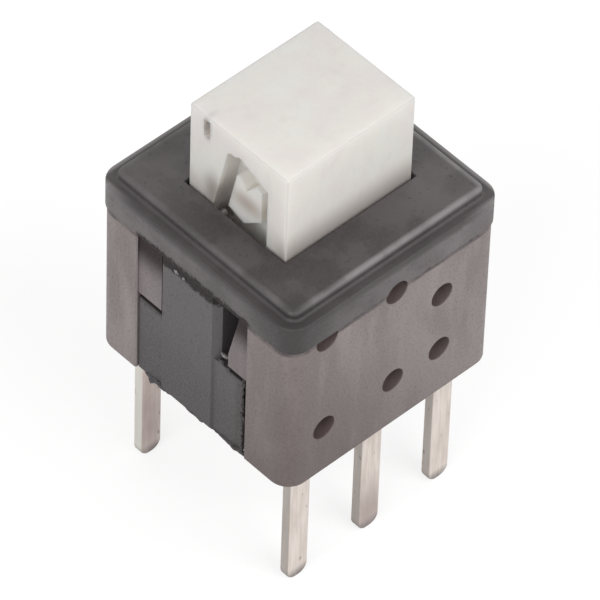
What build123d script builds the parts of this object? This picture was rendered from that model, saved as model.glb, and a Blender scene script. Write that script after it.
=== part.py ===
"""Latching push button switch: press to lock down, press again to release.

Two poles, six blade terminals in two rows. A square base, moulded round the
terminals, is closed by a cover whose two T-shaped legs hook under tabs of the
base. The button stands on a coil spring and carries one sliding contact for
each pole. A bent wire, the latch pin, swings in the floor of the base, and its
tip runs round a heart-shaped island in the button's end face.

Frame: the origin is the centre of the base's underside, which seats on the
board. +Z is up, along the button's travel, and X runs along a row of
terminals. All sizes are millimetres.
"""
import os
from math import atan2, cos, hypot, radians, sin, tan

from build123d import *

# ---- Base -------------------------------------------------------------------
base_size = 5.75            # side of the square body
base_height = 4.05          # board seat to parting line
corner_radius = 0.47        # upright corners of the body
floor_thickness = 0.70
end_wall = 0.75             # walls at the two legs
lip_wall = 0.375            # lip that stands inside the cover
lip_height = 0.35
spigot_radius = 0.55        # centres the spring on the floor
spigot_height = 0.50

# ---- Terminals, blanked from sheet ------------------------------------------
pin_pitch = 2.00            # along a row
row_spacing = 4.50          # between the mid-planes of the rows
terminal_thickness = 0.25
pin_width = 0.55
pin_length = 3.70           # below the board seat
pin_tip_radius = 0.24
strip_width = 0.66          # contact strips of the common and the low terminal
strip_foot = 0.80           # where a strip widens, above the board seat
strip_drop = 0.15           # common and high strips end below the lip's top
low_link_height = 0.70      # bar that joins the low strip to its pin
pad_below = 0.10            # high pad reaches below the contact, button up
break_gap = 0.15            # low strip ends that far below the contact, button up

# ---- Mould-pin holes in the front and rear walls ----------------------------
hole_diameter = 0.58
hole_low = 1.31             # lower row, above the board seat
hole_high_drop = 0.09       # upper row, below the parting line
hole_strip_drop = 0.31      # hole over the low strip, below the strip's top
hole_end = 1.90             # holes over the end terminal, from the middle

# ---- Cover ------------------------------------------------------------------
cover_overhang = 0.025      # the cover stands proud of the base
cover_side = 0.73           # upright side of the rim
rim_edge = 0.05             # round along the rim's upper edge
plateau_inset = 0.26        # raised top, in from the rim
plateau_height = 0.21
plateau_cove = 0.08         # hollow at the foot of the raised top
plateau_edge = 0.08         # round along the raised top's edge
lip_fit = 0.02              # cover over lip, on each side and above

# ---- Cover legs and the T-shaped slots they stand in ------------------------
leg_setback = 0.06          # feet and tabs lie behind the end faces
rib_proud = 0.04            # rib down each leg, proud of the foot
rib_bevel = 0.05            # its edge on the near side
tongue_bevel = 0.15         # and on the side with play
slot_near = 1.68            # slot edges on the side where the leg sits close
slot_far = 1.57             # and on the side where it has play
tongue_near = 0.97
tongue_far = 0.70
leg_fit = 0.02
leg_play = 0.13
post_edge = 0.03            # upright edges beside the slots
hook_height = 2.27          # underside of the tabs, above the board seat
hook_gap = 0.12             # feet below the tabs
tab_far = 1.00              # edge of the tab on the play side, below
tab_slant_start = 2.65
tab_far_top = 1.32          # and at the parting line

# ---- Button -----------------------------------------------------------------
cap_y = 2.86                # across the rows; along X it follows from the latch pin
cap_rise = 2.27             # top of the button above the cover
cap_edge = 0.05
cap_corner = 0.06
guide_fit = 0.06            # running gap in the cover's opening
carrier_gap_y = 0.175       # carrier to the terminals' strips
carrier_gap_x = 0.115       # and to the cavity's wall, away from the latch pin
stop_gap = 0.02             # below the cover, button up
travel = 2.00               # full stroke
bottom_gap = 0.05           # left above the floor, button down
bore_radius = 0.98          # spring pocket
bore_depth = 3.45
slot_y = 0.92               # narrow upright slot in the end face
slot_drop = 0.37            # its middle, below the finger face
slot_width = 0.17
slot_height = 0.50
slot_depth = 0.25

# ---- Heart cam in the button's end face -------------------------------------
# Each point is y, and height above the parting line with the button up.
cam_wall = -0.87            # far side of the cam pocket
cam_bottom = 0.20
cam_roof = [(-0.03, 2.79), (-0.87, 2.44)]
island_setback = 0.10       # face of the island behind the end face
lane_depth = 0.50           # way up, deepest
roof_depth = 0.42           # over the island
return_depth = 0.36         # way back down
island_point = (-0.10, 0.87)
island_heel = (-0.60, 1.28)
island_far_lobe = [(-0.60, 2.10), (-0.44, 2.18)]
island_notch = (-0.14, 1.81)
island_near_lobe = 2.09     # height of the lobe beside the way up
island_crest = 0.08         # width of that lobe's top

# ---- Latch pin --------------------------------------------------------------
wire_diameter = 0.22
wire_bend = 0.20            # centreline radius of its two bends
wire_gap = 0.12             # leg to the button's end face
wire_clearance = 0.055      # leg to the cavity's wall
pivot_y = -0.12
pivot_z = 0.35
pivot_end = -1.00           # where the lower hook ends
pivot_fit = 0.02
pivot_slot = 0.42           # lets the leg swing in the floor
tip_y = 0.62                # tip's place with the button up
tip_rise = 0.50             # above the parting line
tip_reach = 0.26            # tip behind the button's end face
tip_fit = 0.04              # clearance of the tip in its lane
swing = 6.0                 # degrees, over the full stroke
relief_near = 0.80          # room for the swinging tip under the cover
relief_far = 0.90
relief_height = 0.34

# ---- Sliding contacts -------------------------------------------------------
contact_thickness = 0.12
contact_bend = 0.15         # centreline radius of its bends
contact_height = 0.50
contact_fit = 0.02          # contact to terminals, carrier pocket to contact
contact_drop = 0.50         # contact's top edge below the carrier's top
contact_tail = 0.21         # beyond its outer contact points
contact_end_gap = 0.05      # pocket's ends to the contact
contact_end_wall = 0.18     # wall left at the ends of the pocket
contact_seat = 1.55         # floor of its pocket in the carrier

# ---- Return spring ----------------------------------------------------------
spring_radius = 0.78        # mean
spring_wire = 0.20
spring_turns = 6
spring_seat_gap = 0.01

# ---- Places that follow from the sizes above --------------------------------
half_base = base_size / 2
half_pin = pin_width / 2
half_strip = strip_width / 2
contact_wall = row_spacing / 2 - terminal_thickness / 2   # inner face of a strip
strip_back = contact_wall + terminal_thickness
cavity_x = half_base - end_wall
lip_x = cavity_x + lip_wall
lip_y = contact_wall + lip_wall
lip_top = base_height + lip_height
strip_top = lip_top - strip_drop
ceiling = lip_top + lip_fit                    # underside of the cover's top
rim_top = base_height + cover_side
cover_top = rim_top + plateau_height
half_cover = half_base + cover_overhang
carrier_top = ceiling - stop_gap
carrier_bottom = floor_thickness + travel + bottom_gap
carrier_x = cavity_x - carrier_gap_x           # its end away from the latch pin
carrier_y = contact_wall - carrier_gap_y       # half its width
cap_top = cover_top + cap_rise
leg_back = cavity_x + leg_fit
leg_face = half_base - leg_setback
rib_face = leg_face + rib_proud
foot_near = slot_near - leg_fit
foot_far = slot_far - leg_play
foot_top = hook_height - hook_gap
post_reach = half_base - corner_radius         # where the rounded corners begin
wire_radius = wire_diameter / 2
wire_x = -(cavity_x - wire_clearance - wire_radius)
cam_face = wire_x + wire_radius + wire_gap     # the button's end face
cap_x = -2 * cam_face
tip_z = base_height + tip_rise
arm = hypot(tip_y - pivot_y, tip_z - pivot_z)
rest_angle = atan2(tip_y - pivot_y, tip_z - pivot_z)
end_angle = rest_angle - radians(swing)
lane_end = (
    pivot_y + arm * sin(end_angle),
    pivot_z + arm * cos(end_angle) + travel - base_height,
)
lane_half = wire_radius + tip_fit
lane_lean = atan2(tip_y - lane_end[0], lane_end[1] - tip_rise)
contact_top = carrier_top - contact_drop
contact_bottom = contact_top - contact_height
contact_half = cap_x / 2 - contact_end_wall - contact_end_gap
contact_spread = contact_half - contact_tail   # outer contact points, from the middle
high_pad_bottom = contact_bottom - pad_below
low_strip_top = contact_bottom - break_gap
hole_high = base_height - hole_high_drop
hole_low_strip = low_strip_top - hole_strip_drop

# Upright planes at the two ends: local x to the near side of the slot, local y
# up, and the normal into the body.
leg_end = Plane(origin=(-half_base, 0, 0), x_dir=(0, 1, 0), z_dir=(1, 0, 0))
free_end = Plane(origin=(half_base, 0, 0), x_dir=(0, -1, 0), z_dir=(-1, 0, 0))


def lane_middle(rise):
    """y of the tip's way up, at that height above the parting line."""
    return tip_y - (rise - tip_rise) * tan(lane_lean)


def lane_outer(rise):
    """y of the lane's outer wall."""
    return lane_middle(rise) + lane_half / cos(lane_lean)


def lane_inner(rise):
    """y of the lane's wall on the island's side."""
    return lane_middle(rise) - lane_half / cos(lane_lean)


# ---- Terminals --------------------------------------------------------------
def blade(*outline):
    """Profile of a front-row terminal, drawn on the inner face of its strip."""
    with BuildSketch(Plane.XZ.offset(contact_wall)) as profile:
        Polygon(*outline, align=None)
        fillet(profile.vertices().group_by(Axis.Y)[0], pin_tip_radius)
    return profile.sketch


with BuildPart() as terminal_high_front:
    extrude(blade(
        (-pin_pitch - half_pin, -pin_length),
        (-pin_pitch + half_pin, -pin_length),
        (-pin_pitch + half_pin, high_pad_bottom),
        (-contact_spread + half_strip, high_pad_bottom),
        (-contact_spread + half_strip, strip_top),
        (-pin_pitch - half_pin, strip_top),
    ), amount=terminal_thickness)

with BuildPart() as terminal_common_front:
    extrude(blade(
        (-half_pin, -pin_length),
        (half_pin, -pin_length),
        (half_pin, strip_foot),
        (half_strip, strip_foot),
        (half_strip, strip_top),
        (-half_strip, strip_top),
        (-half_strip, strip_foot),
        (-half_pin, strip_foot),
    ), amount=terminal_thickness)

with BuildPart() as terminal_low_front:
    extrude(blade(
        (pin_pitch - half_pin, -pin_length),
        (pin_pitch + half_pin, -pin_length),
        (pin_pitch + half_pin, strip_foot + low_link_height),
        (contact_spread + half_strip, strip_foot + low_link_height),
        (contact_spread + half_strip, low_strip_top),
        (contact_spread - half_strip, low_strip_top),
        (contact_spread - half_strip, strip_foot),
        (pin_pitch - half_pin, strip_foot),
    ), amount=terminal_thickness)

# The rear row is the front row's mirror image.
with BuildPart() as terminal_high_rear:
    mirror(terminal_high_front.part, about=Plane.XZ)
with BuildPart() as terminal_common_rear:
    mirror(terminal_common_front.part, about=Plane.XZ)
with BuildPart() as terminal_low_rear:
    mirror(terminal_low_front.part, about=Plane.XZ)

terminals = {
    "terminal_high_front": terminal_high_front,
    "terminal_common_front": terminal_common_front,
    "terminal_low_front": terminal_low_front,
    "terminal_high_rear": terminal_high_rear,
    "terminal_common_rear": terminal_common_rear,
    "terminal_low_rear": terminal_low_rear,
}

# Front and rear faces of the base, with x to the right and z up on both.
front_face = Plane(origin=(0, -half_base, 0), x_dir=(1, 0, 0), z_dir=(0, -1, 0))
rear_face = Plane(origin=(0, half_base, 0), x_dir=(-1, 0, 0), z_dir=(0, 1, 0))
mould_pins = [
    (-hole_end, hole_low), (-hole_end, hole_high),
    (0, hole_low), (0, hole_high),
    (contact_spread, hole_low), (contact_spread, hole_low_strip),
]

# ---- Base -------------------------------------------------------------------
with BuildPart() as base:
    with BuildSketch():
        RectangleRounded(base_size, base_size, corner_radius)
    extrude(amount=base_height)

    # Lip that locates the cover.
    with BuildSketch(Plane.XY.offset(base_height)):
        Rectangle(2 * lip_x, 2 * lip_y)
    extrude(amount=lip_height)

    # Cavity, with the spring's spigot left standing on the floor.
    with BuildSketch(Plane.XY.offset(floor_thickness)):
        Rectangle(2 * cavity_x, 2 * contact_wall)
    extrude(amount=lip_top - floor_thickness, mode=Mode.SUBTRACT)
    with BuildSketch(Plane.XY.offset(floor_thickness)):
        Circle(spigot_radius)
    extrude(amount=spigot_height)

    # T-shaped slots for the cover's legs: wide below, narrow between the tabs.
    with BuildSketch(leg_end, free_end):
        with BuildLine():
            Polyline(
                (-slot_far, 0), (slot_near, 0),
                (slot_near, hook_height), (tongue_near + leg_fit, hook_height),
                (tongue_near + leg_fit, lip_top), (-tab_far_top, lip_top),
                (-tab_far_top, base_height), (-tab_far, tab_slant_start),
                (-tab_far, hook_height), (-slot_far, hook_height),
                close=True,
            )
        make_face()
    extrude(amount=end_wall, mode=Mode.SUBTRACT)
    with BuildSketch(leg_end, free_end):
        with Locations(((slot_near - slot_far) / 2, base_height / 2)):
            Rectangle(slot_near + slot_far, base_height)
    extrude(amount=leg_setback, mode=Mode.SUBTRACT)
    # Upright edges of the posts that are left beside the slots.
    upright = base.edges().filter_by(Axis.Z)
    on_end = upright.filter_by(lambda edge: abs(edge.center().X) > leg_face + post_edge)
    chamfer(on_end.filter_by(lambda edge: abs(edge.center().Y) < post_reach), post_edge)

    # Pivot of the latch pin: a slot for its leg and a blind hole for its hook.
    with BuildSketch(Plane.XY.offset(floor_thickness)):
        with Locations((wire_x + wire_bend, pivot_y)):
            Rectangle(half_base, pivot_slot, align=(Align.MAX, Align.CENTER))
    extrude(amount=pivot_z - wire_radius - pivot_fit - floor_thickness, mode=Mode.SUBTRACT)
    with BuildSketch(Plane.YZ.offset(wire_x)):
        with Locations((pivot_y, pivot_z)):
            Circle(wire_radius + pivot_fit)
    extrude(amount=pivot_end + pivot_fit - wire_x, mode=Mode.SUBTRACT)

    # Mould-pin holes down to the backs of the strips.
    with BuildSketch(front_face):
        with Locations(*mould_pins):
            Circle(hole_diameter / 2)
    with BuildSketch(rear_face):
        with Locations(*[(-x, z) for x, z in mould_pins]):
            Circle(hole_diameter / 2)
    extrude(amount=strip_back - half_base, mode=Mode.SUBTRACT)

    # The material is moulded round the terminals.
    for metal in terminals.values():
        add(metal.part, mode=Mode.SUBTRACT)

# ---- Cover ------------------------------------------------------------------
rib_plan = [
    (-rib_face, -tongue_far + tongue_bevel),
    (-rib_face, tongue_near - rib_bevel),
    (-leg_face, tongue_near),
]
tongue_plan = [
    (-leg_back, -tongue_far), (tongue_bevel - rib_face, -tongue_far),
    *rib_plan,
    (-leg_back, tongue_near),
]
foot_plan = [
    (-leg_back, -foot_far), (-leg_face, -foot_far),
    (-leg_face, -tongue_far + tongue_bevel - rib_proud),
    *rib_plan,
    (-leg_face, foot_near), (-leg_back, foot_near),
]

with BuildPart() as cover:
    with BuildSketch(Plane.XY.offset(base_height)):
        RectangleRounded(2 * half_cover, 2 * half_cover, corner_radius)
    extrude(amount=cover_side)
    fillet(cover.faces().sort_by(Axis.Z)[-1].edges(), rim_edge)
    with BuildSketch(Plane.XY.offset(rim_top)):
        RectangleRounded(
            2 * (half_cover - plateau_inset), 2 * (half_cover - plateau_inset),
            corner_radius - plateau_inset,
        )
    extrude(amount=plateau_height)
    fillet(cover.faces().sort_by(Axis.Z)[-1].edges(), plateau_edge)
    ledge = cover.faces().filter_by(Plane.XY).sort_by(Axis.Z)[-2]
    fillet(ledge.inner_wires()[0].edges(), plateau_cove)

    # Recess over the base's lip.
    with BuildSketch(Plane.XY.offset(base_height)):
        Rectangle(2 * (lip_x + lip_fit), 2 * (lip_y + lip_fit))
    extrude(amount=ceiling - base_height, mode=Mode.SUBTRACT)

    # Legs: a wide foot that hooks under the tabs, a tongue above it, and a rib
    # down both. The two legs are the same, turned by half a turn.
    with BuildSketch():
        with PolarLocations(0, 2):
            Polygon(*foot_plan, align=None)
    extrude(amount=foot_top)
    with BuildSketch(Plane.XY.offset(foot_top)):
        with PolarLocations(0, 2):
            Polygon(*tongue_plan, align=None)
    extrude(amount=ceiling - foot_top)

    # Opening that guides the button.
    with BuildSketch(Plane.XY.offset(cover_top)):
        Rectangle(cap_x + 2 * guide_fit, cap_y + 2 * guide_fit)
    extrude(amount=ceiling - cover_top, mode=Mode.SUBTRACT)

    # Room under the top for the swinging tip of the latch pin.
    with BuildSketch(Plane.XY.offset(ceiling)):
        with Locations((
            (wire_x - wire_radius - pivot_fit + cam_face) / 2,
            (relief_near - relief_far) / 2,
        )):
            Rectangle(cam_face - wire_x + wire_radius + pivot_fit, relief_near + relief_far)
    extrude(amount=relief_height, mode=Mode.SUBTRACT)

    # Half-round breaks in the rim over the middle mould-pin holes.
    with BuildSketch(front_face.offset(cover_overhang), rear_face.offset(cover_overhang)):
        with Locations((0, hole_high)):
            Circle(hole_diameter / 2)
    extrude(amount=lip_y + lip_fit - half_cover, mode=Mode.SUBTRACT)

# ---- Heart cam, drawn on the button's end face ------------------------------
cam_plane = Plane(origin=(cam_face, 0, base_height), x_dir=(0, 1, 0), z_dir=(1, 0, 0))
pocket_outline = [
    (cam_wall, cam_bottom),
    (lane_outer(cam_bottom), cam_bottom),
    (lane_outer(lane_end[1]), lane_end[1]),
    *cam_roof,
]
island_shoulder = island_point[1] + lane_half
island_outline = [
    island_point,
    (lane_inner(island_shoulder), island_shoulder),
    (lane_inner(island_near_lobe), island_near_lobe),
    (lane_inner(island_near_lobe) - island_crest, island_near_lobe),
    island_notch,
    *reversed(island_far_lobe),
    island_heel,
]
roof_outline = [
    (cam_wall, island_notch[1]),
    (lane_outer(island_notch[1]), island_notch[1]),
    *pocket_outline[2:],
]
lane_outline = [
    (lane_inner(cam_bottom), cam_bottom),
    (lane_outer(cam_bottom), cam_bottom),
    (lane_outer(lane_end[1]), lane_end[1]),
    (lane_inner(lane_end[1]), lane_end[1]),
]

# ---- Button -----------------------------------------------------------------
with BuildPart() as button:
    # Cap, straight from the carrier's bottom to the finger face.
    with BuildSketch(Plane.XY.offset(carrier_bottom)):
        RectangleRounded(cap_x, cap_y, cap_corner)
    extrude(amount=cap_top - carrier_bottom)
    fillet(button.faces().sort_by(Axis.Z)[-1].edges(), cap_edge)

    # Carrier with shoulders that stop under the cover.
    with BuildSketch(Plane.XY.offset(carrier_bottom)):
        with Locations(((carrier_x + cam_face) / 2, 0)):
            Rectangle(carrier_x - cam_face, 2 * carrier_y)
    extrude(amount=carrier_top - carrier_bottom)

    # Pockets for the sliding contacts.
    with BuildSketch(Plane.XY.offset(contact_bottom - contact_fit)):
        with GridLocations(0, 2 * carrier_y, 1, 2):
            Rectangle(2 * (contact_half + contact_end_gap), 2 * (carrier_y - contact_seat))
    extrude(amount=contact_height + 2 * contact_fit, mode=Mode.SUBTRACT)

    # Spring pocket.
    with BuildSketch(Plane.XY.offset(carrier_bottom)):
        Circle(bore_radius)
    extrude(amount=bore_depth, mode=Mode.SUBTRACT)

    # Heart cam: the pocket down to the island's face, then the lanes round the
    # island, shallow on the way back, deeper over the top, deepest on the way up.
    with BuildSketch(cam_plane):
        Polygon(*pocket_outline, align=None)
        with Locations(lane_end):
            Circle(lane_half)
    extrude(amount=island_setback, mode=Mode.SUBTRACT)
    with BuildSketch(cam_plane):
        Polygon(*pocket_outline, align=None)
        Polygon(*island_outline, align=None, mode=Mode.SUBTRACT)
    extrude(amount=return_depth, mode=Mode.SUBTRACT)
    with BuildSketch(cam_plane):
        Polygon(*roof_outline, align=None)
        Polygon(*island_outline, align=None, mode=Mode.SUBTRACT)
    extrude(amount=roof_depth, mode=Mode.SUBTRACT)
    with BuildSketch(cam_plane):
        Polygon(*lane_outline, align=None)
        with Locations(lane_end):
            Circle(lane_half)
    extrude(amount=lane_depth, mode=Mode.SUBTRACT)

    # Narrow slot beside the cam.
    with BuildSketch(Plane(origin=(cam_face, 0, cap_top), x_dir=(0, 1, 0), z_dir=(1, 0, 0))):
        with Locations((slot_y, -slot_drop)):
            Rectangle(slot_width, slot_height)
    extrude(amount=slot_depth, mode=Mode.SUBTRACT)

# ---- Latch pin --------------------------------------------------------------
with BuildPart() as latch_pin:
    with BuildLine() as wire:
        FilletPolyline(
            (pivot_end, pivot_y, pivot_z), (wire_x, pivot_y, pivot_z),
            (wire_x, tip_y, tip_z), (cam_face + tip_reach, tip_y, tip_z),
            radius=wire_bend,
        )
    with BuildSketch(Plane(origin=wire.line @ 0, z_dir=wire.line % 0)):
        Circle(wire_radius)
    sweep()

# ---- Sliding contacts -------------------------------------------------------
# A zigzag strip: its crests touch the terminals, its valleys the button. The
# corner points lie outside the strip's bends by bend_cut.
contact_crest = contact_wall - contact_fit - contact_thickness / 2
contact_valley = contact_seat + contact_fit + contact_thickness / 2
contact_slope = atan2(contact_crest - contact_valley, contact_spread / 2)
bend_cut = contact_bend * (1 / cos(contact_slope) - 1)
contact_end = contact_crest - contact_tail * tan(contact_slope)

with BuildPart() as contact_rear:
    with BuildSketch(Plane.XY.offset(contact_bottom)):
        with BuildLine():
            FilletPolyline(
                (-contact_half, contact_end), (-contact_spread, contact_crest + bend_cut),
                (-contact_spread / 2, contact_valley - bend_cut), (0, contact_crest + bend_cut),
                (contact_spread / 2, contact_valley - bend_cut),
                (contact_spread, contact_crest + bend_cut), (contact_half, contact_end),
                radius=contact_bend,
            )
        trace(line_width=contact_thickness)
    extrude(amount=contact_height)

with BuildPart() as contact_front:
    mirror(contact_rear.part, about=Plane.XZ)

# ---- Return spring ----------------------------------------------------------
spring_bottom = floor_thickness + spring_seat_gap + spring_wire / 2
spring_top = carrier_bottom + bore_depth - spring_seat_gap - spring_wire / 2

with BuildPart() as return_spring:
    with BuildLine(Plane.XY.offset(spring_bottom)) as coil:
        Helix(
            pitch=(spring_top - spring_bottom) / spring_turns,
            height=spring_top - spring_bottom,
            radius=spring_radius,
        )
    with BuildSketch(Plane(origin=coil.line @ 0, z_dir=coil.line % 0)):
        RegularPolygon(spring_wire / 2, 6)
    sweep(is_frenet=True)

# ---- Write the pieces -------------------------------------------------------
pieces = {
    "base": base,
    "cover": cover,
    **terminals,
    "button": button,
    "contact_front": contact_front,
    "contact_rear": contact_rear,
    "latch_pin": latch_pin,
    "return_spring": return_spring,
}

os.makedirs("parts", exist_ok=True)
for name, piece in pieces.items():
    piece.part.label = name
    export_step(piece.part, f"parts/{name}.step")
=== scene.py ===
# %% [markdown]
# # A latching push button switch, dressed for its portrait
#
# The switch is barely six millimetres wide. A grey-brown base is moulded round
# six silvered blades, a charcoal cover clips down over it, and a milky white
# button stands out of the cover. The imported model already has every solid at
# its real size, so this script adds what a solid can't hold: finish, light and
# the small traces that moulding and handling leave.

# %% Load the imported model
from math import cos, pi, radians, sin

import bmesh
import bpy
from mathutils import Matrix, Vector, noise


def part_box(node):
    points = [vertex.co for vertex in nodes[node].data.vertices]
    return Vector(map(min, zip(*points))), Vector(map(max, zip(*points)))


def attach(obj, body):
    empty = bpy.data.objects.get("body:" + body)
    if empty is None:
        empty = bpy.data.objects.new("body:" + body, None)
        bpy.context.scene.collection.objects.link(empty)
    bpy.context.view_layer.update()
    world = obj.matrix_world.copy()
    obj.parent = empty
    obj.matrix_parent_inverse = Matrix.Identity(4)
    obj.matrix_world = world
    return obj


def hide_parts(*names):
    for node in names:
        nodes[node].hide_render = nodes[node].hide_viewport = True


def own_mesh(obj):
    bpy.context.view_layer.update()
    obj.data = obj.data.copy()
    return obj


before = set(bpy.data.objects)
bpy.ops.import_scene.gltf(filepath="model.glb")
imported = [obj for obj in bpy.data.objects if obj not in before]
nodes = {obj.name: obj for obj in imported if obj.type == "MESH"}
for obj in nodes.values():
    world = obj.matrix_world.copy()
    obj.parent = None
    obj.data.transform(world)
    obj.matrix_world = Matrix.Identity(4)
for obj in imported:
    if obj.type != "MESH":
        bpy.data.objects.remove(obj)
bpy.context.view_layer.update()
print("nodes:", sorted(nodes))

# %% [markdown]
# ## Millimetres, and places read from the model
#
# Blender works in metres, and a switch is easier to think of in millimetres, so
# every length below is multiplied by one value, `mm`. Places that belong to the
# model are read from its boxes. If the switch grows, the finish and the small
# added pieces then follow it.

# %% Sizes read from the model
mm = 0.001

base_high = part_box("base")[1]
cover_low, cover_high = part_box("cover")
button_low, button_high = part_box("button")
pin_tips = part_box("terminal_high_front")[0].z

cover_height = 0.94 * mm        # the rim and the raised top, without the legs
parting_line = cover_high.z - cover_height
print(f"cover {(cover_high.x - cover_low.x) / mm:.2f} mm wide, "
      f"button top {button_high.z / mm:.2f} mm, pin tips {pin_tips / mm:.2f} mm")

# %% [markdown]
# ## The camera
#
# Small parts are shown from above one corner, far enough away that parallel
# edges stay nearly parallel. A long lens does that. The camera is placed by two
# angles round the switch and a distance, and a slight roll, since a hand-held
# part never lies quite square. Building its matrix from three directions shows
# what each of them does: `across`, `upward` and `backward`.

# %% Place the camera
azimuth, elevation, roll = radians(-44.34), radians(48.10), radians(2.07)
distance = 148.7 * mm
aim_height, aside, below = 3.0 * mm, 0.04 * mm, 1.11 * mm
sensor_width, focal_length = 36, 441.4
nearest, farthest = 1 * mm, 10

backward = Vector((sin(azimuth) * cos(elevation), -cos(azimuth) * cos(elevation),
                   sin(elevation)))
level = Vector((cos(azimuth), sin(azimuth), 0))
upright = backward.cross(level)
across = level * cos(roll) + upright * sin(roll)
upward = upright * cos(roll) - level * sin(roll)
aim = Vector((0, 0, aim_height)) + across * aside - upward * below

lens = bpy.data.cameras.new("portrait_lens")
lens.sensor_width, lens.lens = sensor_width, focal_length
lens.clip_start, lens.clip_end = nearest, farthest
camera = bpy.data.objects.new("portrait_camera", lens)
bpy.context.scene.collection.objects.link(camera)
camera.matrix_world = Matrix.Translation(aim + backward * distance) @ Matrix(
    (across, upward, backward)).transposed().to_4x4()
bpy.context.scene.camera = camera
print("camera at", [round(v / mm, 1) for v in camera.matrix_world.translation], "mm")

# %% [markdown]
# ## Two helpers for materials
#
# A material is a small network of nodes. Written out in full, each node takes
# four or five lines, so `put` adds one node, sets it up and plugs it in, in one
# line. Finishes are usually matched in the 0 to 255 values that a screen
# shows, while shaders count light, so `tone` turns the one into the other.


# %% Helpers: put a node, and name a colour
def put(tree, kind, sockets=None, **settings):
    """Adds a shader node; each socket gets a plain value or a link."""
    node = tree.nodes.new("ShaderNode" + kind)
    for name, value in settings.items():
        setattr(node, name, value)
    for name, value in (sockets or {}).items():
        if isinstance(value, bpy.types.NodeSocket):
            tree.links.new(value, node.inputs[name])
        else:
            node.inputs[name].default_value = value
    return node


def tone(red, green, blue):
    """A screen colour, 0 to 255, as linear light."""
    parts = [v / 255 for v in (red, green, blue)]
    return (*(v / 12.92 if v < 0.04045 else ((v + 0.055) / 1.055) ** 2.4 for v in parts), 1)


print("mid grey is", round(tone(128, 128, 128)[0], 3), "in linear light")

# %% [markdown]
# ## Measuring from inside a material
#
# Every grain, streak and smudge below is placed in millimetres on the object.
# The node `TexCoord` gives a point in the object's own metres, and `place`
# scales it. `cloud` reads soft noise there, stretched along an axis where a
# process left streaks. `parts_of` splits a point or a direction into x, y and z,
# and `facing` tells flat faces from sides and edges.


# %% Helpers: places, noise and directions
def place(tree):
    """The point on the object, in millimetres."""
    point = put(tree, "TexCoord").outputs["Object"]
    return put(tree, "VectorMath", {0: point, "Scale": 1 / mm}, operation="SCALE").outputs[0]


def cloud(tree, point, scale, detail=3.0, stretch=(1, 1, 1), shift=0.0):
    """Soft noise, 0 to 1; scale is in features per millimetre."""
    spot = put(tree, "Mapping", {"Vector": point, "Scale": stretch,
                                 "Location": (shift, shift, shift)}).outputs[0]
    return put(tree, "TexNoise", {"Vector": spot, "Scale": scale, "Detail": detail}).outputs[0]


def parts_of(tree, vector):
    """A vector's x, y and z."""
    return put(tree, "SeparateXYZ", {0: vector}).outputs


def unsigned(tree, vector):
    """The vector with each part counted away from zero, whichever side it is on."""
    return put(tree, "VectorMath", {0: vector}, operation="ABSOLUTE").outputs[0]


def facing(tree):
    """How squarely the surface looks along x, y and z, each 0 to 1."""
    return parts_of(tree, unsigned(tree, put(tree, "NewGeometry").outputs["Normal"]))


print("noise is measured in features per millimetre, so 16 gives grains of",
      round(1 / 16, 2), "mm")

# %% [markdown]
# ## Masks
#
# A mask is a number from 0 to 1 that says how much of something there is at a
# point. `window` turns any measure into a mask, with soft ends, and `patch` is a
# mask round one place. `both` joins two values by plain arithmetic, and `times`
# keeps only what several masks share.


# %% Helpers: masks
def window(tree, value, start, end, low=0.0, high=1.0):
    """low where value is at start, high where it is at end, smooth between them."""
    return put(tree, "MapRange", {"Value": value, 1: start, 2: end, 3: low, 4: high},
               interpolation_type="SMOOTHSTEP").outputs[0]


def both(tree, first, second, operation="MULTIPLY"):
    """Two values joined by simple arithmetic."""
    return put(tree, "Math", {0: first, 1: second}, operation=operation).outputs[0]


def times(tree, mask, *others):
    """Several masks multiplied: full only where each of them is."""
    for other in others:
        mask = both(tree, mask, other)
    return mask


def patch(tree, point, centre, size):
    """A soft patch: 1 at its centre, 0 beyond its size, both in millimetres."""
    offset = put(tree, "VectorMath", {0: point, 1: centre}, operation="SUBTRACT").outputs[0]
    share = put(tree, "VectorMath", {0: offset, 1: size}, operation="DIVIDE").outputs[0]
    reach = put(tree, "VectorMath", {0: share}, operation="LENGTH").outputs["Value"]
    return window(tree, reach, 1.0, 0.0)


print("mask helpers:", window.__name__, both.__name__, times.__name__, patch.__name__)

# %% [markdown]
# ## Coats of colour
#
# A used surface is a stack of thin coats: the clean material, then dust, soil
# and wear, each through its own mask. `mix` lays one colour over another, and
# `coats` does so for a list. `relief` tilts the surface as if a noise were real
# height, so light catches on it although the mesh stays plain. `finish_of`
# starts a material, and `wire_up` plugs the results into its shader.


# %% Helpers: coats, relief and the shader
def mix(tree, amount, under, over):
    """The colour under, with the colour over laid on it by amount."""
    return put(tree, "Mix", {0: amount, 6: under, 7: over}, data_type="RGBA").outputs[2]


def coats(tree, colour, layers):
    """Lays on each layer in turn: its mask, how strong it is, and its colour."""
    for mask, strength, over in layers:
        colour = mix(tree, both(tree, mask, strength), colour, over)
    return colour


def relief(tree, height, depth, under=None):
    """Tilts the surface as if height, 0 to 1, were depth millimetres tall."""
    sockets = {"Height": height, "Distance": depth * mm, "Strength": 1.0}
    if under is not None:
        sockets["Normal"] = under
    return put(tree, "Bump", sockets).outputs[0]


def finish_of(name):
    """A new material: its node tree and its shader, ready to plug into."""
    material = bpy.data.materials.new(name)
    material.use_nodes = True
    return material, material.node_tree, material.node_tree.nodes["Principled BSDF"]


def wire_up(tree, shader, **sockets):
    """Links values into the shader; an underscore stands for a space."""
    for name, value in sockets.items():
        tree.links.new(value, shader.inputs[name.replace("_", " ")])


# the lower sheen goes with dirt and with painted shade alike
clean_sheen, dirt_and_shade_sheen = 0.5, 0.1      # how plainly plastic mirrors its surroundings
print("clean plastic has a sheen of", clean_sheen, "and packed dirt one of", dirt_and_shade_sheen)
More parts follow.
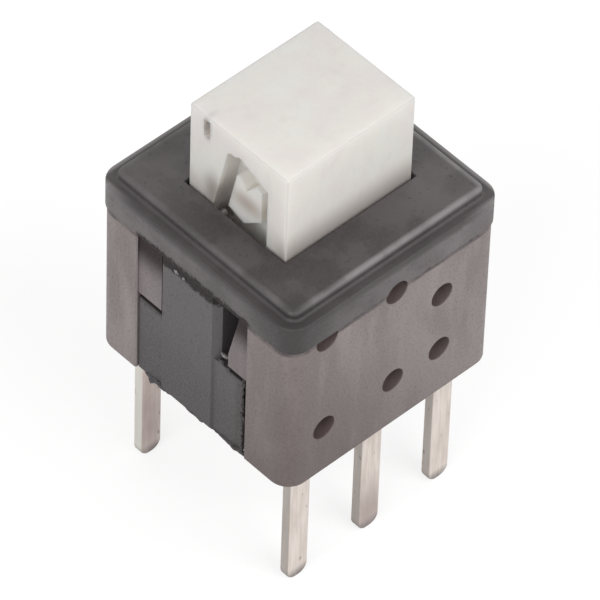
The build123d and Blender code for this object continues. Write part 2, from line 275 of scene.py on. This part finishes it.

# %% [markdown]
# ## The base: filled resin
#
# The base is moulded in a resin full of glass and mineral powder. It comes out
# of the mould matt and slightly blotched, because the powder streams along the
# flow and shows as faint upright streaks. Two stretched clouds give blotches
# and streaks, and a fine one gives the grain. Painted shade darkens it towards
# the lower front corner (`low_corner_shade`). The tabs beside the legs lie a
# little behind the end faces (`set_back`) and are painted darker as shade,
# darkest under the rim (`shaded`), where the sheen is turned down too. Painted
# shade darkens the insides of the mould-pin holes, which lie behind the two row
# faces (`sunk_hole_shade`), and dirt draws a broken line where the cover meets
# the base (`seam`).


# %% Finish: base resin
def base_resin():
    material, tree, shader = finish_of("base_resin")
    point = place(tree)
    blotch = cloud(tree, point, 0.9, stretch=(1, 1, 0.6))
    streak = cloud(tree, point, 2.6, detail=4.0, stretch=(1, 1, 0.16), shift=7.0)
    grain = cloud(tree, point, 16.0, detail=2.0)
    x, y, z = parts_of(tree, point)
    across, along, _ = parts_of(tree, unsigned(tree, point))
    # lowest at the lower front corner, where the painted shade is strongest
    low_corner_measure = both(tree, x, both(tree, y, z, "ADD"), "ADD")    # lowest at the soiled corner
    wall, parting = base_high.y / mm, parting_line / mm
    slot = 1.70                 # half the width of the slots that the legs run in

    # painted shade: darker towards the lower front corner, in blotches
    low_corner_shade = times(tree, window(tree, low_corner_measure, 0.6, -4.6),
                   window(tree, blotch, 0.2, 0.6, low=0.5))
    # the set-back tabs, which are painted darker as shade
    set_back = times(tree, window(tree, across, wall - 0.015, wall - 0.05),
                     window(tree, along, slot + 0.02, slot - 0.02))
    shaded = times(tree, set_back, window(tree, z, parting - 1.2, parting - 0.3))
    # painted shade inside the mould-pin holes
    sunk_hole_shade = times(tree, window(tree, along, wall - 0.004, wall - 0.04),
                 window(tree, across, wall - 0.45, wall - 0.50))
    seam = times(tree, window(tree, z, parting - 0.15, parting - 0.07),
                 window(tree, streak, 0.35, 0.60, low=0.45))

    clean = mix(tree, window(tree, blotch, 0.35, 0.65),
                tone(127, 117, 116), tone(141, 132, 130))
    colour = coats(tree, clean, [
        (window(tree, streak, 0.45, 0.70), 0.55, tone(152, 142, 141)),
        (window(tree, grain, 0.52, 0.72), 0.40, tone(104, 94, 92)),
        (low_corner_shade, 0.85, tone(92, 81, 79)),
        # painted shade on the set-back tabs, then darkest under the rim
        (set_back, 0.5, tone(104, 95, 99)),
        (shaded, 0.95, tone(46, 38, 38)),
        # painted shade inside the holes
        (sunk_hole_shade, 0.8, tone(90, 75, 73)),
        (seam, 0.85, tone(60, 49, 48)),
    ])
    # the painted shade under the rim also loses its sheen
    wire_up(tree, shader, Base_Color=colour,
            Specular_IOR_Level=window(tree, shaded, 0.0, 1.0, low=clean_sheen, high=dirt_and_shade_sheen),
            Roughness=window(tree, grain, 0.3, 0.7, low=0.50, high=0.68),
            Normal=relief(tree, grain, 0.006, relief(tree, streak, 0.010)))
    return material


resin = base_resin()
print("finish:", resin.name)

# %% [markdown]
# ## Where the cover is worn, and where light and shade are painted on it
#
# The cover is what a hand meets first. The round edge of its raised top is
# rubbed paler and carries a painted highlight, weaker on one side. A dry grey
# bloom covers what a finger doesn't reach, and painted light pales the rim's
# sides, more on some sides than others. Dust lies on the far side, the hollow
# round the raised top is painted darker as shade, and the front corner is
# darker. Each mask is found by measuring outwards from the middle (`reach`),
# upwards (`z`), and away from the corner that is handled most (`away`).


# %% Masks: traces of handling, and painted light and shade, on the cover
outer, top = cover_high.x / mm, cover_high.z / mm
crest, ledge = outer - 0.34, top - 0.21         # the raised top's edge, and its foot


def handling(tree, point, blotch):
    """Where the cover is rubbed and painted with a highlight, bloomed and painted paler, dusty,
    painted with shade in the hollow, frayed, and darker at the front corner.
    """
    east, north, _ = parts_of(tree, point)
    x, y, z = parts_of(tree, unsigned(tree, point))
    reach = both(tree, x, y, "MAXIMUM")
    away = both(tree, east, north, "ADD")           # lowest at the corner handled most
    across = both(tree, east, north, "SUBTRACT")    # lowest at the corner to its left

    # partly wear, partly a painted highlight on the raised top's round edge, weaker on one side
    rubbed_and_highlit = times(tree, window(tree, reach, crest - 0.09, crest + 0.01),
                   window(tree, z, top - 0.15, top - 0.04),
                   window(tree, blotch, 0.25, 0.6, low=0.4),
                   window(tree, across, -2.0, 2.0, low=0.2))
    # partly bloom, partly painted light that pales the rim's sides, unevenly by side
    bloom_and_side_light = times(tree, window(tree, reach, outer - 0.08, outer - 0.02),
                    window(tree, z, ledge - 0.05, ledge - 0.22),
                    window(tree, away, -5.6, 0.2, low=0.15),
                    window(tree, across, -4.0, -0.5, low=0.62))
    dusty = times(tree, window(tree, away, -2.2, 0.3),
                  window(tree, blotch, 0.2, 0.6, low=0.6))
    # painted shade in the hollow round the raised top
    hollow_shade = times(tree, window(tree, reach, crest + 0.03, crest + 0.09),
                  window(tree, z, ledge - 0.20, ledge - 0.06))
    frayed = times(tree, window(tree, reach, outer - 0.15, outer - 0.04),
                   window(tree, z, ledge - 0.24, ledge - 0.06),
                   window(tree, away, -1.2, 0.4))
    # darker at the front corner
    dark_front_corner = window(tree, away, -4.3, -5.5)
    return rubbed_and_highlit, bloom_and_side_light, dusty, hollow_shade, frayed, dark_front_corner


print(f"the raised top's edge lies {crest:.2f} mm from the middle, its foot {ledge:.2f} mm up")

# %% [markdown]
# ## Under the rim
#
# Below the rim the cover goes on as two legs, which see less light and less
# wear, so their colour is painted darker as shade, more towards the bottom.
# Under the rim above each leg, dirt lies together with painted shade; a dark
# line runs along the joint with the base, and painted shade lines the gap
# beside the torn left foot. None of these lines is straight on the real thing,
# so `ragged` adds a little noise to the measure before it is cut.


# %% Masks: the legs and the lines round them
def below_the_rim(tree, point, pits):
    """Where the legs are, the dirt and painted shade above them, the joint, and the painted
    shade beside the torn foot.
    """
    north = parts_of(tree, point)[1]
    _, y, z = parts_of(tree, unsigned(tree, point))
    parting = parting_line / mm

    def ragged(measure, depth):
        return both(tree, measure, both(tree, pits, depth), "ADD")

    legs = window(tree, z, parting + 0.01, parting - 0.01)
    wavy = ragged(z, 0.22)
    # dirt together with painted shade under the rim, above each leg
    under_rim_dirt_and_shade = times(tree, window(tree, wavy, parting - 0.26, parting - 0.12),
                   window(tree, wavy, parting + 0.32, parting + 0.16),
                   window(tree, y, 1.75, 1.60))
    seam = times(tree, window(tree, z, parting + 0.08, parting + 0.01),
                 window(tree, z, parting - 0.01, parting),
                 window(tree, pits, 0.35, 0.60, low=0.2))
    # painted shade along the gap beside the torn foot
    foot_top = times(tree, window(tree, ragged(z, 0.14), 2.08, 2.14),
                     window(tree, y, 0.90, 1.0))
    foot_side = window(tree, ragged(north, 0.20), -1.10, -1.22)
    foot_gap_shade = times(tree, both(tree, foot_side, foot_top, "MAXIMUM"),
                 window(tree, z, 2.30, 2.20))
    return legs, under_rim_dirt_and_shade, seam, foot_gap_shade


print(f"legs reach from {cover_low.z / mm:.2f} to {parting_line / mm:.2f} mm")

# %% [markdown]
# ## The cover: charcoal nylon
#
# The cover is darker and tougher than the base, since its legs must bend when
# they snap in. The mould was spark-eroded, which leaves a fine even grain with
# shallow pits. On that go the coats of dust, wear and painted light, and the
# dirt and painted shade under the rim go on last, because they lie on top.
# They have no shine, so there the sheen goes down as well; otherwise the white
# surroundings would lighten them.


# %% Finish: cover nylon
def cover_nylon():
    material, tree, shader = finish_of("cover_nylon")
    point = place(tree)
    blotch = cloud(tree, point, 1.3, detail=4.0)
    grain = cloud(tree, point, 21.0, detail=2.0)
    pits = cloud(tree, point, 9.0, detail=1.0, shift=3.0)
    rubbed_and_highlit, bloom_and_side_light, dusty, hollow_shade, frayed, dark_front_corner = handling(tree, point, blotch)
    legs, under_rim_dirt_and_shade, seam, foot_gap_shade = below_the_rim(tree, point, pits)
    height = parts_of(tree, unsigned(tree, point))[2]

    clean = mix(tree, window(tree, blotch, 0.40, 0.60), tone(60, 55, 56), tone(75, 70, 71))
    # pale colour for the bloom and the painted light on the rim's sides
    pale_side_colour = mix(tree, window(tree, blotch, 0.3, 0.7), tone(104, 98, 99), tone(124, 118, 119))
    # painted shade: the legs darker towards the bottom
    leg_colour_shaded = mix(tree, window(tree, height, -0.4, 3.4), tone(56, 51, 53), tone(86, 81, 84))
    colour = coats(tree, clean, [
        (window(tree, grain, 0.45, 0.75), 0.4, tone(92, 87, 88)),
        (dusty, 0.36, tone(112, 107, 108)),
        (bloom_and_side_light, 0.85, pale_side_colour),
        (legs, 0.9, leg_colour_shaded),
        (window(tree, pits, 0.62, 0.74), 0.5, tone(52, 47, 48)),
        # rubbed wear and painted highlight
        (rubbed_and_highlit, 0.8, tone(144, 140, 141)),
        # painted shade in the hollow
        (hollow_shade, 0.55, tone(58, 53, 54)),
        (frayed, 0.7, tone(160, 155, 156)),
        # dirt and painted shade under the rim
        (under_rim_dirt_and_shade, 0.95, tone(40, 34, 35)),
        (seam, 0.7, tone(60, 52, 52)),
        # painted shade by the foot's gap
        (foot_gap_shade, 0.8, tone(50, 43, 43)),
        # darker front corner
        (dark_front_corner, 0.8, tone(42, 37, 38)),
    ])
    # the dirt and painted shade under the rim lose their sheen
    wire_up(tree, shader, Base_Color=colour,
            Specular_IOR_Level=window(tree, under_rim_dirt_and_shade, 0.0, 1.0, low=clean_sheen, high=dirt_and_shade_sheen),
            Roughness=window(tree, grain, 0.3, 0.7, low=0.42, high=0.62),
            Normal=relief(tree, grain, 0.002, relief(tree, pits, 0.004)))
    return material


nylon = cover_nylon()
print("finish:", nylon.name)

# %% [markdown]
# ## Stains round the cam
#
# One end face of the button holds the cam that the latch pin runs in. Grease
# and rubbed-off metal grey its lane, together with painted shade deep in it, a
# smear of them reaches out over the face, the pin has worn the roof, and the
# small upright nick above is full of dirt.
# Each is a patch, placed by how deep it lies behind the end face.


# %% Masks: stains on the button's end face
def cam_stains(tree, point, haze):
    """Where the end face is greased and shaded, smeared, worn and nicked, and where the pocket
    is.
    """
    end_face = button_low.x / mm
    x = parts_of(tree, point)[0]

    def stain(depth, across, height, size):
        return patch(tree, point, (end_face + depth, across, height), size)

    # grease and painted shade in the cam's lane
    lane_grease_and_shade = times(tree, stain(0, 0.50, 4.95, (1.6, 0.60, 1.05)),
                    window(tree, haze, 0.25, 0.6, low=0.7),
                    window(tree, x, end_face + 0.12, end_face + 0.40))
    smeared = times(tree, stain(0, 0.68, 5.25, (0.5, 0.45, 0.85)),
                    window(tree, haze, 0.2, 0.6, low=0.6))
    worn = times(tree, stain(0.20, -0.20, 5.55, (0.6, 0.85, 0.40)),
                 window(tree, x, end_face + 0.03, end_face + 0.06))
    nick = stain(0, 0.91, 6.93, (0.6, 0.17, 0.45))
    pocket = stain(0.4, -0.1, 5.3, (1.2, 1.3, 2.0))
    return lane_grease_and_shade, smeared, worn, nick, pocket


print(f"end face of the button at x = {button_low.x / mm:.2f} mm")

# %% [markdown]
# ## The button: natural acetal
#
# Acetal without dye is milky: light goes in a little way and comes out again,
# so edges glow and shadows stay soft. Subsurface light gives that, with a reach
# well under a millimetre on a part this small. The faces keep faint clouds from
# cooling. Near the cover they are painted darker as shade, most on the face
# towards -y, and the rounded edges are painted darker too, to tone down a
# highlight that would gleam too much: an edge is where the surface looks
# squarely along none of the three axes.


# %% Finish: button acetal
def button_acetal():
    material, tree, shader = finish_of("button_acetal")
    point = place(tree)
    blotch = cloud(tree, point, 1.1, detail=3.0)
    haze = cloud(tree, point, 3.2, detail=4.0, stretch=(1, 1, 0.5), shift=5.0)
    grain = cloud(tree, point, 24.0, detail=2.0)
    lane_grease_and_shade, smeared, worn, nick, pocket = cam_stains(tree, point, haze)
    _, y, z = parts_of(tree, point)
    along_x, along_y, along_z = facing(tree)
    opening = cover_high.z / mm

    # painted shade on the button near the cover, strongest on the face towards -y
    shade_near_cover = times(tree, window(tree, z, opening + 0.80, opening - 0.1),
                     window(tree, pocket, 0.5, 0.0),
                     window(tree, y, -1.0, -1.4, low=0.4, high=0.9))
    square = both(tree, both(tree, along_x, along_y, "MAXIMUM"), along_z, "MAXIMUM")
    # painted shade on the rounded edges, to tone down their highlight
    edges = times(tree, window(tree, square, 0.99, 0.82), window(tree, pocket, 0.2, 0.0))

    clean = mix(tree, window(tree, blotch, 0.35, 0.65),
                tone(230, 225, 221), tone(232, 230, 224))
    colour = coats(tree, clean, [
        (window(tree, haze, 0.5, 0.75), 0.5, tone(225, 219, 215)),
        (smeared, 0.8, tone(138, 131, 123)),
        (worn, 0.8, tone(176, 163, 152)),
        # grease and painted shade in the lane
        (lane_grease_and_shade, 0.45, tone(126, 120, 111)),
        (nick, 0.9, tone(112, 106, 100)),
        # painted shade near the cover
        (shade_near_cover, 1.0, tone(166, 158, 152)),
        # painted shade on the edges
        (edges, 0.7, tone(203, 198, 193)),
    ])
    shader.inputs["Subsurface Weight"].default_value = 0.60
    shader.inputs["Subsurface Radius"].default_value = (1.0, 0.9, 0.8)
    shader.inputs["Subsurface Scale"].default_value = 0.50 * mm
    wire_up(tree, shader, Base_Color=colour,
            Roughness=window(tree, haze, 0.3, 0.7, low=0.34, high=0.50),
            Normal=relief(tree, grain, 0.003, relief(tree, haze, 0.010)))
    return material


acetal = button_acetal()
print("finish:", acetal.name)

# %% [markdown]
# ## The blades: silvered brass
#
# The terminals are punched from sheet and plated. Drawing the sheet leaves
# streaks along its length, and the plating has dulled unevenly; the rear row is
# also painted darker as shade. Punching tears the narrow sides, so they are
# rougher than the flat ones, and in the front row they are also painted darker
# as shade; the surface's own direction tells one from the other. Tips are the
# darkest.


# %% Finish: plated blades
pitch, row = 2.0, 2.25      # in millimetres: blades 2 apart, in rows at y = -2.25 and 2.25


def plated_brass(name, bright, dull, drawn=(1.0, 1.0, 0.07)):
    """drawn stretches the streaks: the smaller a part, the longer they run that way."""
    material, tree, shader = finish_of(name)
    point = place(tree)
    streak = cloud(tree, point, 13.0, detail=3.0, stretch=drawn)
    tarnish = cloud(tree, point, 1.9, detail=4.0, stretch=(1, 1, 0.5), shift=2.0)
    speck = cloud(tree, point, 8.0, detail=1.0, stretch=(1, 1, 0.4), shift=9.0)
    _, y, z = parts_of(tree, point)
    low_end = pin_tips / mm

    sheared = window(tree, facing(tree)[0], 0.5, 0.9)
    # darker towards the tips
    tip = times(tree, window(tree, z, low_end + 0.36, low_end + 0.04),
                window(tree, tarnish, 0.3, 0.6, low=0.6))
    # tarnish, with painted shade making the rear row darker
    tarnish_and_rear_shade = times(tree, window(tree, tarnish, 0.40, 0.70),
                    window(tree, y, -1.5, 1.5, low=0.6))
    stained = both(tree, patch(tree, point, (-pitch, row, -2.7), (0.9, 0.6, 2.6)),
                   patch(tree, point, (0.0, -row, -3.2), (0.9, 0.6, 1.5)), "MAXIMUM")

    plating = mix(tree, window(tree, streak, 0.30, 0.70), bright, dull)
    # painted shade on the narrow sides, darker in the front row
    side_shade_colour = mix(tree, window(tree, y, -1.0, 1.0), tone(156, 150, 144), tone(214, 214, 207))
    colour = coats(tree, plating, [
        (tarnish_and_rear_shade, 0.7, tone(186, 166, 159)),
        (stained, 0.8, tone(150, 132, 129)),
        (sheared, 0.75, side_shade_colour),
        (window(tree, speck, 0.68, 0.78), 0.6, tone(110, 96, 92)),
        (tip, 0.85, tone(104, 97, 95)),
    ])
    shader.inputs["Metallic"].default_value = 0.80
    wire_up(tree, shader, Base_Color=colour,
            Roughness=both(tree, window(tree, streak, 0.3, 0.7, low=0.36, high=0.46),
                           window(tree, sheared, 0.0, 1.0, high=0.12), "ADD"),
            Normal=relief(tree, streak, 0.002, relief(tree, tarnish, 0.008)))
    return material


blade_finish = plated_brass("blade_plating", tone(223, 213, 206), tone(208, 198, 190))
contact_finish = plated_brass("contact_plating", tone(222, 210, 192), tone(204, 190, 168),
                              drawn=(0.07, 1.0, 1.0))
print("finishes:", blade_finish.name, contact_finish.name)

# %% [markdown]
# ## Spring and latch pin: drawn wire
#
# Both are wire that was pulled through a die, which leaves hair-fine lines and a
# slightly uneven shine. On a coil those lines turn with the wire, and at this
# size a fine even cloud reads the same.


# %% Finish: drawn steel wire
def drawn_steel():
    material, tree, shader = finish_of("drawn_steel")
    point = place(tree)
    lines = cloud(tree, point, 30.0, detail=2.0)
    stain = cloud(tree, point, 2.4, detail=3.0, shift=4.0)
    clean = mix(tree, window(tree, lines, 0.35, 0.65), tone(176, 176, 178), tone(206, 205, 205))
    colour = coats(tree, clean, [(window(tree, stain, 0.5, 0.75), 0.6, tone(138, 130, 124))])
    shader.inputs["Metallic"].default_value = 1.0
    wire_up(tree, shader, Base_Color=colour,
            Roughness=window(tree, stain, 0.3, 0.7, low=0.24, high=0.42),
            Normal=relief(tree, lines, 0.004))
    return material


steel = drawn_steel()
print("finish:", steel.name)

# %% [markdown]
# ## Smooth faces, soft edges
#
# A mesh made from a solid has flat facets where the real face is round.
# `smooth_by_angle` shades across shallow angles and leaves sharp edges sharp.
# No moulded or tumbled part has a perfectly sharp edge, though, and at this
# size it is the thin light line on an edge that makes it look real, so `soften`
# also rounds edges by a few hundredths of a millimetre. Facets that lie in one
# plane are joined first (`whole_faces`), or each of their seams would show.


# %% Helpers: modifiers for a solid's mesh
def smooth_by_angle(limit):
    """Nodes for a modifier: faces shade smoothly except across edges sharper than limit."""
    group = bpy.data.node_groups.new("smooth_by_angle", "GeometryNodeTree")
    for way in ("INPUT", "OUTPUT"):
        group.interface.new_socket("Geometry", in_out=way, socket_type="NodeSocketGeometry")
    add, link = group.nodes.new, group.links.new
    start, end = add("NodeGroupInput"), add("NodeGroupOutput")
    angle, sharp = add("GeometryNodeInputMeshEdgeAngle"), add("FunctionNodeCompare")
    faces, edges = add("GeometryNodeSetShadeSmooth"), add("GeometryNodeSetShadeSmooth")
    sharp.inputs["B"].default_value = limit
    faces.domain, edges.domain = "FACE", "EDGE"
    edges.inputs["Shade Smooth"].default_value = False
    link(start.outputs[0], faces.inputs["Geometry"])
    link(faces.outputs[0], edges.inputs["Geometry"])
    link(angle.outputs["Unsigned Angle"], sharp.inputs["A"])
    link(sharp.outputs["Result"], edges.inputs["Selection"])
    link(edges.outputs[0], end.inputs[0])
    return group


def whole_faces(solid, touching=0.0005 * mm, flat=radians(0.5)):
    """Joins the corners of the facets, and flat facets into whole faces."""
    weld = solid.modifiers.new("weld", "WELD")
    weld.merge_threshold = touching
    whole = solid.modifiers.new("whole_faces", "DECIMATE")
    whole.decimate_type, whole.angle_limit = "DISSOLVE", flat


def soften(solid, width, sharp=radians(50)):
    """Rounds the edges between faces, and keeps the faces themselves flat."""
    bevel = solid.modifiers.new("soft_edges", "BEVEL")
    bevel.width, bevel.segments = width, 2
    bevel.limit_method, bevel.angle_limit = "ANGLE", sharp
    bevel.harden_normals = True


smoothing = smooth_by_angle(radians(32))
print("shading breaks at edges sharper than 32 degrees, by", smoothing.name)

# %% [markdown]
# ## Dressing the model's own solids
#
# The solids already have the right shape, so each keeps its mesh and its place,
# and gets modifiers and a finish. Moulded plastic comes out of its mould nearly
# sharp; the blades were tumbled before plating, so their edges are rounder. The
# wire and the contacts are too thin for a rounding to show.

# %% Give each solid its finish
finishes = {
    "base": resin,
    "cover": nylon,
    "button": acetal,
    "latch_pin": steel,
    "return_spring": steel,
    "contact_front": contact_finish,
    "contact_rear": contact_finish,
}
edge_rounds = {"base": 0.02 * mm, "cover": 0.02 * mm, "button": 0.03 * mm}
blade_round = 0.04 * mm
for name, solid in nodes.items():
    finish = finishes.get(name, blade_finish)
    for slot in solid.material_slots:
        slot.material = finish
    whole_faces(solid)
    solid.modifiers.new("smooth_shading", "NODES").node_group = smoothing
    if name in edge_rounds or name.startswith("terminal"):
        soften(solid, edge_rounds.get(name, blade_round))
    print(f"{name}: {finish.name}, {len(solid.data.polygons)} faces")

# %% [markdown]
# ## A wound spring
#
# The button stands on a small coil spring. In the imported model the spring is
# one stiff solid, which a pressed button would leave standing out of its top. A
# coil wound in the same box takes its place. A ring of points is carried round
# and upwards, slowly in the first and the last turn, since a real spring's ends
# are closed to stand flat. A piece of the scene's own belongs to no solid, so
# `new_piece` also says which body it rides on and what it is made of.


# %% Helpers: a piece of the scene's own, and a coil
def new_piece(name, mesh, body, finish):
    """Makes an object of a mesh that is in the model's frame, and lets it ride on a body."""
    piece = bpy.data.objects.new(name, mesh)
    bpy.context.scene.collection.objects.link(piece)
    piece.data.materials.append(finish)
    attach(piece, body)
    return piece


def coil(name, low, high, wire, turns, sides=10, steps=32):
    """A coil that fills the box from low to high, with closed end turns."""
    mesh, shape = bpy.data.meshes.new(name), bmesh.new()
    radius = (high.x - low.x - wire) / 2
    closed = 1.1 * wire         # an end turn rises little more than its own thickness
    free = high.z - low.z - wire - 2 * closed
    rings = []
    for step in range(steps * turns + 1):
        turn = step / steps
        rise = closed * (min(turn, 1) + max(turn - turns + 1, 0))
        rise += free * min(max((turn - 1) / (turns - 2), 0), 1)
        out = Vector((cos(2 * pi * turn), sin(2 * pi * turn), 0))
        centre = Vector(((low.x + high.x) / 2, (low.y + high.y) / 2, low.z + wire / 2 + rise))
        rings.append([shape.verts.new(centre + out * (radius + wire / 2 * cos(angle))
                                      + Vector((0, 0, wire / 2 * sin(angle))))
                      for angle in (2 * pi * side / sides for side in range(sides))])
    for under, over in zip(rings, rings[1:]):
        for side in range(sides):
            beside = (side + 1) % sides
            corners = under[side], under[beside], over[beside], over[side]
            shape.faces.new(corners).smooth = True
    shape.faces.new(rings[0])
    shape.faces.new(rings[-1])
    bmesh.ops.recalc_face_normals(shape, faces=shape.faces)
    shape.to_mesh(mesh)
    shape.free()
    return mesh


spring_low, spring_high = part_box("return_spring")
print(f"room for a coil {(spring_high.x - spring_low.x) / mm:.2f} mm across")

# %% [markdown]
# ## Winding it
#
# Wire 0.2 mm thick in six turns is about what fits this room.

winding = coil("return_coil", spring_low, spring_high, wire=0.20 * mm, turns=6)
spring = new_piece("return_coil", winding, "body", steel)
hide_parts("return_spring")
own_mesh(spring)

# %% [markdown]
# ## Bits that moulding leaves
#
# Real moulded parts carry bits that no drawing shows. Modelled as real shapes,
# not painted on, they catch light and throw small shadows. Each bit is a small
# ball, stretched along its edge and pushed out of shape by noise, so no two are
# alike, and one mesh holds all the bits of a kind.


# %% Helper: irregular lumps
def lumps(name, spots, depth=0.55, dents=1.7):
    """One mesh of lumps, each (centre, size, squash) in millimetres, dented by depth."""
    mesh, shape = bpy.data.meshes.new(name), bmesh.new()
    for seed, (centre, size, squash) in enumerate(spots, start=1):
        for corner in bmesh.ops.create_icosphere(shape, subdivisions=3, radius=1.0)["verts"]:
            bulge = 1 + depth * noise.noise(corner.co * dents + Vector((seed, 2 * seed, 0)))
            corner.co = mm * (Vector(centre) + Vector(
                [part * bulge * size * side for part, side in zip(corner.co, squash)]))
    shape.to_mesh(mesh)
    shape.free()
    return mesh


rim = cover_low.x / mm
leg = rim + 0.05            # a little outside the left leg
print(f"bits on the left leg are placed from x = {leg:.2f} mm")

# %% [markdown]
# ## Crumbs of flash
#
# Where two mould halves meet, a little resin creeps into the joint and sets as
# flash. It breaks off in crumbs that cling near the edge. They are thinner than
# paper and let light through, so they look paler than the plastic they are of.


# %% Crumbs of flash
def flash_resin():
    material, tree, shader = finish_of("flash_resin")
    milk = cloud(tree, place(tree), 14.0)
    colour = mix(tree, window(tree, milk, 0.35, 0.65), tone(112, 106, 107), tone(158, 154, 155))
    wire_up(tree, shader, Base_Color=colour,
            Roughness=window(tree, milk, 0.3, 0.7, low=0.35, high=0.60),
            Normal=relief(tree, milk, 0.006))
    return material


crumb_mesh = lumps("flash_crumbs", [
    ((rim + 0.05, 0.52, 3.86), 0.045, (0.7, 1.4, 0.8)),
    ((rim + 0.04, 0.30, 3.84), 0.030, (0.8, 1.0, 1.0)),
    ((rim + 0.02, 0.62, 4.08), 0.022, (0.6, 1.6, 0.8)),
    ((rim + 0.06, -0.30, 4.70), 0.026, (1.0, 1.5, 0.7)),
    ((rim + 0.30, -0.36, 4.93), 0.020, (1.2, 1.0, 0.6)),
    ((leg + 0.10, -0.84, 2.40), 0.050, (0.9, 2.2, 0.5)),
])
crumbs = new_piece("flash_crumbs", crumb_mesh, "body", flash_resin())
print(crumbs.name, "has", len(crumbs.data.polygons), "faces")

# %% [markdown]
# ## Burrs and a gate stub
#
# The cover is trimmed roughly, which leaves burrs down the side of the left foot
# and along its end, and a thin ragged flash hangs from the rim over the holes.
# Rows of overlapping lumps, of sizes that rise and fall, give such an edge. A
# stub of the gate, where the plastic came in, hangs under the foot.

# %% Burrs of the cover, and the stub of its gate
foot_gap = -1.505           # y of the middle of the gap beside the foot
foot_end = 0.01             # height at which the foot was trimmed
flash_spots = (-1.4, -1.2, -0.95, -0.75, -0.5, 0.5, 0.8, 1.1, 1.25, 1.6, 1.85, 2.1)

torn_top = [
    ((leg + 0.05, -0.80, 2.22), 0.050, (0.9, 1.5, 0.7)),
    ((leg + 0.04, -1.02, 2.20), 0.034, (0.8, 1.6, 0.6)),
]
torn_side = [((leg + 0.05, foot_gap + 0.06, 0.16 + 0.24 * step),
              0.05 + 0.02 * sin(5.1 * step), (0.8, 0.9, 2.4)) for step in range(9)]
trimmed_end = [((leg + 0.05, 1.28 - 0.18 * step, foot_end),
                0.055 + 0.02 * sin(7.3 * step), (0.8, 3.4, 0.9)) for step in range(16)]
rim_flash = [((east, cover_low.y / mm + 0.02, parting_line / mm),
              0.030 + 0.010 * sin(9.7 * east), (3.6, 0.8, 0.9)) for east in flash_spots]
burr_mesh = lumps("cover_burrs", torn_top + torn_side + trimmed_end + rim_flash)
burrs = new_piece("cover_burrs", burr_mesh, "body", nylon)

stub_mesh = lumps("gate_stub", [((leg + 0.16, 1.22, 0.0), 0.19, (0.8, 1.3, 0.9))])
stub = new_piece("gate_stub", stub_mesh, "body", nylon)
print("faces:", {piece.name: len(piece.data.polygons) for piece in (burrs, stub)})

# %% [markdown]
# ## The stage
#
# The switch stands on its blades on a pale floor. To the camera the floor and
# the sky around it are white, and light and shadow still fall on the floor. The
# node `Light Path` tells who is asking: the camera and mirror-like surfaces see
# the nearly white version, everything else sees plain pale paint.


# %% Floor and surroundings
def grey(level):
    """A grey that throws back this share of the light."""
    return level, level, level, 1


def seen_by_lens(tree):
    """1 for rays from the camera, and for those that shiny or clear surfaces send on."""
    path = put(tree, "LightPath").outputs
    glossy = both(tree, path["Is Camera Ray"], path["Is Glossy Ray"], "MAXIMUM")
    return both(tree, glossy, path["Is Transmission Ray"], "MAXIMUM")


def pale_floor():
    """Pale paint; to the lens, a glow that is white except where a shadow falls."""
    material = bpy.data.materials.new("pale_floor")
    material.use_nodes = True
    tree = material.node_tree
    tree.nodes.clear()
    paint = put(tree, "BsdfDiffuse", {"Color": grey(0.62)}).outputs[0]
    shade = put(tree, "BsdfDiffuse", {"Color": grey(0.34)}).outputs[0]
    glow = put(tree, "Emission", {"Color": grey(1), "Strength": 0.74}).outputs[0]
    white = put(tree, "AddShader", {0: shade, 1: glow}).outputs[0]
    mixed = put(tree, "MixShader", {0: seen_by_lens(tree), 1: paint, 2: white}).outputs[0]
    put(tree, "OutputMaterial", {"Surface": mixed})
    return material


def floor_sheet(half, panels=8):
    """A square sheet at the blades' tips, in a few panels."""
    mesh, shape = bpy.data.meshes.new("floor"), bmesh.new()
    bmesh.ops.create_grid(shape, x_segments=panels, y_segments=panels, size=half)
    bmesh.ops.translate(shape, vec=(0, 0, pin_tips), verts=shape.verts)
    shape.to_mesh(mesh)
    shape.free()
    mesh.materials.append(pale_floor())
    floor = bpy.data.objects.new("floor", mesh)
    bpy.context.scene.collection.objects.link(floor)
    return floor


floor = floor_sheet(400 * mm)
print("floor at", round(floor.data.vertices[0].co.z / mm, 2), "mm")

# %% [markdown]
# ## Soft light
#
# Two wide lamps and a bright sky leave hardly any hard shadow, as in a small
# light tent. The main lamp is high and in front, so the top is brightest; the
# second fills the left. Their power follows from the distance: a lamp of power
# P at distance d lights a face that looks at it with P / (pi d^2), and a white
# face looks white when all the light together comes to pi.


# %% Lamps and sky
lamp_away, lamp_size = 220 * mm, 160 * mm
lamp_level, sky_level = 0.46, 0.45      # shares of the light that makes white look white


def soft_lamp(name, direction):
    """A square lamp that lights what it looks at to lamp_level."""
    lamp = bpy.data.lights.new(name, "AREA")
    lamp.shape, lamp.size = "SQUARE", lamp_size
    lamp.energy = lamp_level * pi * pi * lamp_away ** 2
    holder = bpy.data.objects.new(name, lamp)
    toward = Vector(direction).normalized()
    holder.matrix_world = (Matrix.Translation(toward * lamp_away)
                           @ toward.to_track_quat("Z", "Y").to_matrix().to_4x4())
    bpy.context.scene.collection.objects.link(holder)


soft_lamp("main_lamp", (0.20, -1.0, 0.90))
soft_lamp("fill_lamp", (-1.0, -0.25, 0.7))

sky = bpy.data.worlds.new("light_tent")
sky.use_nodes = True
tree = sky.node_tree
tree.nodes.clear()
tent = put(tree, "Background", {"Color": grey(1), "Strength": sky_level}).outputs[0]
white = put(tree, "Background", {"Color": grey(1), "Strength": 1.0}).outputs[0]
shown = put(tree, "MixShader", {0: seen_by_lens(tree), 1: tent, 2: white}).outputs[0]
put(tree, "OutputWorld", {"Surface": shown})
bpy.context.scene.world = sky
bpy.context.scene.view_settings.view_transform = "Standard"
